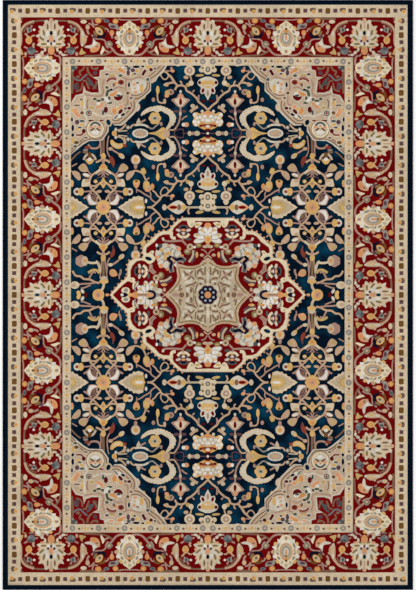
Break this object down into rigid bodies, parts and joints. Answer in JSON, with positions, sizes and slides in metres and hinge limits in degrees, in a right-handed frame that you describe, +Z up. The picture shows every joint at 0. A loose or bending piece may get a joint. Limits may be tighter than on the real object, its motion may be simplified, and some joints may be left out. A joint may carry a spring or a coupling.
{
  "type": "area rug",
  "caption": "Rectangular oriental-style area rug with dense cut pile, a lobed centre medallion, corner pieces, banded borders and serged edges, lying flat.",
  "frame": {"origin": "on the floor under the centre of the rug", "axes": "+X to a long side, +Y to the head end (the top of the front view), +Z up out of the pile"},
  "size_m": [1.6, 2.3, 0.011],
  "materials": {
    "navy_pile": "dull cut pile, soft sheen",
    "red_pile": "dull cut pile, soft sheen",
    "cream_pile": "dull cut pile, soft sheen",
    "ivory_pile": "dull cut pile, soft sheen",
    "sand_pile": "dull cut pile, soft sheen",
    "serging_yarn": "wrapped yarn, dull",
    "filler_yarn": "matt jute cord",
    "jute_ground": "matt woven jute",
    "latex_backcoat": "matt latex film"
  },
  "bodies": {
    "root": {"edge_filler_foot": "filler_yarn", "edge_filler_head": "filler_yarn", "edge_filler_left": "filler_yarn", "edge_filler_right": "filler_yarn", "latex_backcoat": "latex_backcoat", "pile_corner_ne": "ivory_pile", "pile_corner_nw": "ivory_pile", "pile_corner_se": "ivory_pile", "pile_corner_star_ne": "red_pile", "pile_corner_star_nw": "red_pile", "pile_corner_star_se": "red_pile", "pile_corner_star_sw": "red_pile", "pile_corner_sw": "ivory_pile", "pile_edge_band": "navy_pile", "pile_field": "navy_pile", "pile_inner_guard": "cream_pile", "pile_main_border": "red_pile", "pile_medallion": "red_pile", "pile_medallion_star": "sand_pile", "pile_outer_guard": "cream_pile", "serging_foot": "serging_yarn", "serging_head": "serging_yarn", "serging_left": "serging_yarn", "serging_right": "serging_yarn", "woven_ground": "jute_ground"}
  },
  "joints": []
}
